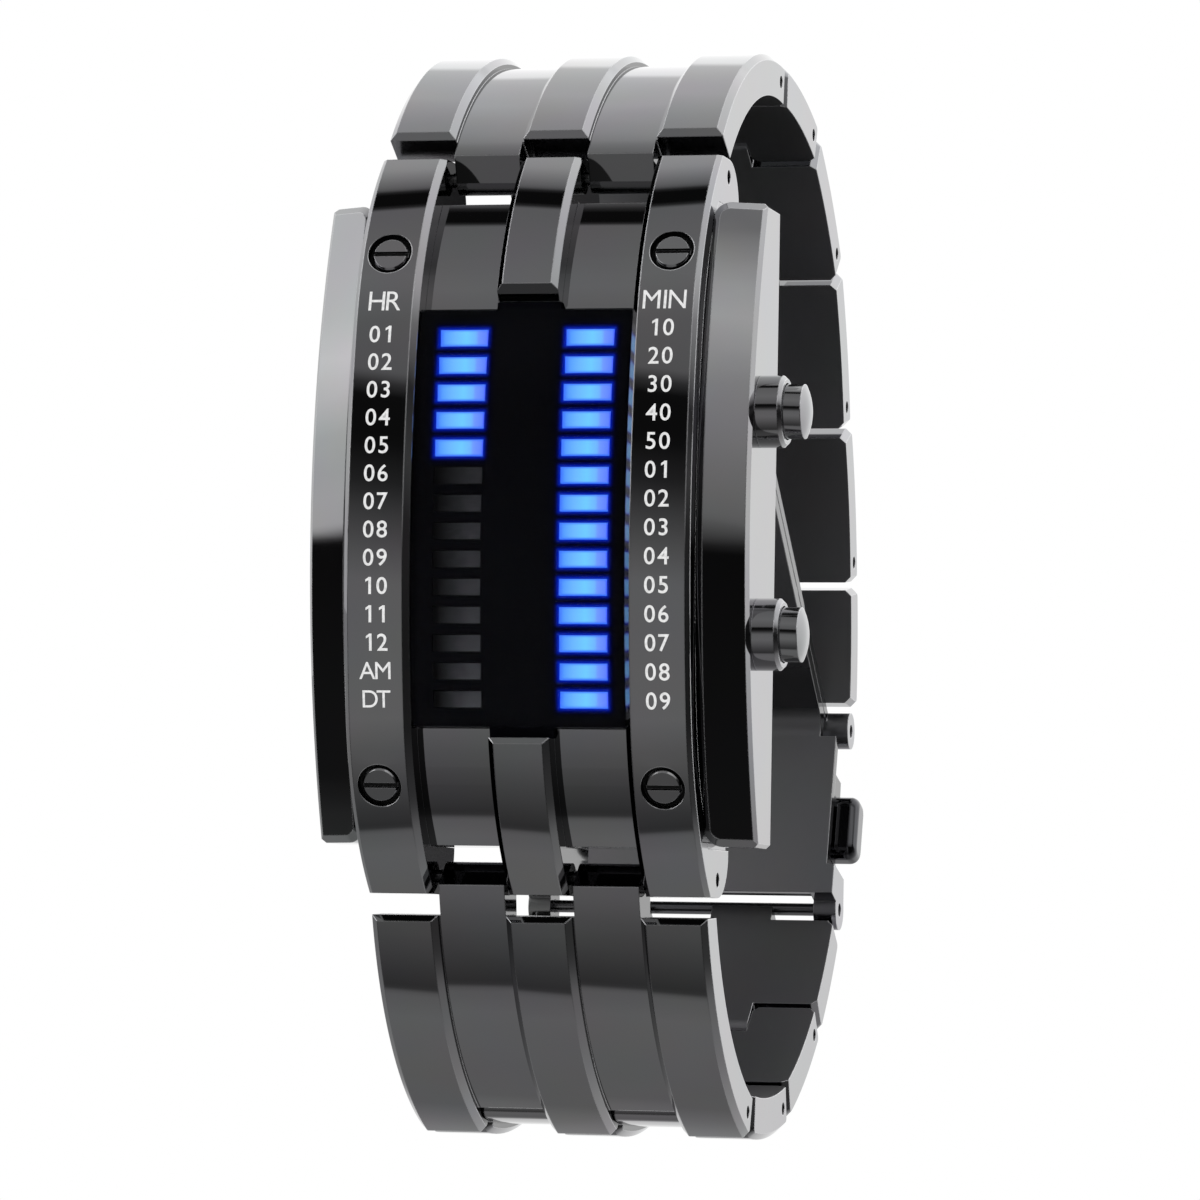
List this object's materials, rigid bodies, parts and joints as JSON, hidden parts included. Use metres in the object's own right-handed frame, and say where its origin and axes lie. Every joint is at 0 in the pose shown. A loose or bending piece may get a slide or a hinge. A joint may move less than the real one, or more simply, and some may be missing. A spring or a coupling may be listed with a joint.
{
  "type": "light-bar wristwatch",
  "caption": "Rectangular wristwatch with two columns of blue light bars, side pushers, and a five-column link bracelet closed by a folding clasp.",
  "frame": {"origin": "centre of the case back's rear face", "axes": "+Z to 12 o'clock, +X to 3 o'clock (the pushers), -Y out of the display, +Y into the wrist"},
  "size_m": [0.0361, 0.0634, 0.0814],
  "materials": {
    "polished_gunmetal": "mirror-polished gun-metal plating on steel",
    "slotted_steel": "polished dark steel screw heads",
    "brushed_back": "fine brushed steel",
    "pin_steel": "ground steel pins",
    "spring_steel": "bright spring steel",
    "display_crystal": "dark tinted, glossy",
    "black_mask": "black",
    "lit_led": "glowing blue light bar",
    "unlit_led": "dark grey light bar, off",
    "board_black": "dark circuit board",
    "holder_plastic": "black moulded plastic",
    "battery_can": "nickel-plated coin cell",
    "seal_rubber": "black rubber"
  },
  "bodies": {
    "case": {"case_body": "polished_gunmetal", "left_side_guard": "polished_gunmetal", "right_side_guard": "polished_gunmetal", "hour_rail": "polished_gunmetal", "minute_rail": "polished_gunmetal", "top_centre_bar": "polished_gunmetal", "bottom_centre_bar": "polished_gunmetal", "bezel_screws": "slotted_steel", "display_crystal": "display_crystal", "display_mask": "black_mask", "lit_led_bars": "lit_led", "unlit_led_bars": "unlit_led", "led_board": "board_black", "module_holder": "holder_plastic", "battery": "battery_can", "battery_contact": "spring_steel", "case_back": "brushed_back", "case_back_screws": "slotted_steel", "case_back_gasket": "seal_rubber", "upper_pusher_collar": "polished_gunmetal", "lower_pusher_collar": "polished_gunmetal", "upper_pusher_spring": "spring_steel", "lower_pusher_spring": "spring_steel", "lug_pin_12": "pin_steel", "lug_pin_6": "pin_steel"},
    "upper_pusher": {"upper_pusher": "polished_gunmetal"},
    "lower_pusher": {"lower_pusher": "polished_gunmetal"},
    "upper_link_1": {"band_12_link_1": "polished_gunmetal", "band_12_pin_1": "pin_steel"},
    "upper_link_2": {"band_12_link_2": "polished_gunmetal", "band_12_pin_2": "pin_steel"},
    "upper_link_3": {"band_12_link_3": "polished_gunmetal", "band_12_pin_3": "pin_steel"},
    "upper_link_4": {"band_12_link_4": "polished_gunmetal", "band_12_pin_4": "pin_steel"},
    "upper_link_5": {"band_12_link_5": "polished_gunmetal", "band_12_pin_5": "pin_steel"},
    "upper_link_6": {"band_12_link_6": "polished_gunmetal"},
    "folding_leaf": {"clasp_leaf": "polished_gunmetal", "clasp_leaf_pin": "pin_steel"},
    "clasp": {"clasp_base_plate": "polished_gunmetal", "clasp_head": "polished_gunmetal", "clasp_end_pin": "pin_steel", "clasp_hinge_pin": "pin_steel", "clasp_left_spring": "spring_steel", "clasp_right_spring": "spring_steel"},
    "clasp_left_button": {"clasp_left_button": "polished_gunmetal"},
    "clasp_right_button": {"clasp_right_button": "polished_gunmetal"},
    "lower_link_1": {"band_6_link_1": "polished_gunmetal", "band_6_pin_1": "pin_steel"},
    "lower_link_2": {"band_6_link_2": "polished_gunmetal", "band_6_pin_2": "pin_steel"},
    "lower_link_3": {"band_6_link_3": "polished_gunmetal", "band_6_pin_3": "pin_steel"},
    "lower_link_4": {"band_6_link_4": "polished_gunmetal"}
  },
  "joints": [
    {"name": "upper_lug_hinge", "type": "hinge", "parent": "case", "child": "upper_link_1", "pos_m": [0, -0.0037, 0.0255], "axis": [1, 0, 0], "range_deg": [0, 37.5]},
    {"name": "upper_link_2_hinge", "type": "hinge", "parent": "upper_link_1", "child": "upper_link_2", "pos_m": [0, 0.01503, 0.03521], "axis": [1, 0, 0], "range_deg": [0, 37]},
    {"name": "upper_link_3_hinge", "type": "hinge", "parent": "upper_link_2", "child": "upper_link_3", "pos_m": [0, 0.02752, 0.03292], "axis": [1, 0, 0], "range_deg": [0, 28]},
    {"name": "upper_link_4_hinge", "type": "hinge", "parent": "upper_link_3", "child": "upper_link_4", "pos_m": [0, 0.03732, 0.02484], "axis": [1, 0, 0], "range_deg": [0, 27]},
    {"name": "upper_link_5_hinge", "type": "hinge", "parent": "upper_link_4", "child": "upper_link_5", "pos_m": [0, 0.04229, 0.01315], "axis": [1, 0, 0], "range_deg": [0, 6]},
    {"name": "upper_link_6_hinge", "type": "hinge", "parent": "upper_link_5", "child": "upper_link_6", "pos_m": [0, 0.04611, 0.00104], "axis": [1, 0, 0], "range_deg": [0, 14]},
    {"name": "leaf_hinge", "type": "hinge", "parent": "upper_link_6", "child": "folding_leaf", "pos_m": [0, 0.04658, -0.01246], "axis": [1, 0, 0], "range_deg": [0, 25]},
    {"name": "clasp_hinge", "type": "hinge", "parent": "folding_leaf", "child": "clasp", "pos_m": [0, 0.02159, 0.00737], "axis": [-1, 0, 0], "range_deg": [0, 60]},
    {"name": "lower_lug_hinge", "type": "hinge", "parent": "case", "child": "lower_link_1", "pos_m": [0, -0.0037, -0.0255], "axis": [-1, 0, 0], "range_deg": [0, 14]},
    {"name": "lower_link_2_hinge", "type": "hinge", "parent": "lower_link_1", "child": "lower_link_2", "pos_m": [0, 0.009, -0.04235], "axis": [-1, 0, 0], "range_deg": [0, 50]},
    {"name": "lower_link_3_hinge", "type": "hinge", "parent": "lower_link_2", "child": "lower_link_3", "pos_m": [0, 0.0217, -0.04224], "axis": [-1, 0, 0], "range_deg": [0, 24]},
    {"name": "lower_link_4_hinge", "type": "hinge", "parent": "lower_link_3", "child": "lower_link_4", "pos_m": [0, 0.03311, -0.03667], "axis": [-1, 0, 0], "range_deg": [0, 20]},
    {"name": "upper_pusher_slide", "type": "slide", "parent": "case", "child": "upper_pusher", "axis": [-1, 0, 0], "range_m": [0, 0.0008], "stiffness_N_per_m": 600, "springref_m": -0.0006, "deforming": ["upper_pusher_spring"]},
    {"name": "lower_pusher_slide", "type": "slide", "parent": "case", "child": "lower_pusher", "axis": [-1, 0, 0], "range_m": [0, 0.0008], "stiffness_N_per_m": 600, "springref_m": -0.0006, "deforming": ["lower_pusher_spring"]},
    {"name": "clasp_left_button_slide", "type": "slide", "parent": "clasp", "child": "clasp_left_button", "axis": [1, 0, 0], "range_m": [0, 0.0008], "stiffness_N_per_m": 600, "springref_m": -0.0006, "deforming": ["clasp_left_spring"]},
    {"name": "clasp_right_button_slide", "type": "slide", "parent": "clasp", "child": "clasp_right_button", "axis": [-1, 0, 0], "range_m": [0, 0.0008], "stiffness_N_per_m": 600, "springref_m": -0.0006, "deforming": ["clasp_right_spring"]}
  ],
  "couplings": [
    {"joint": "clasp_hinge", "follows": "upper_lug_hinge", "ratio": 1.6}
  ]
}
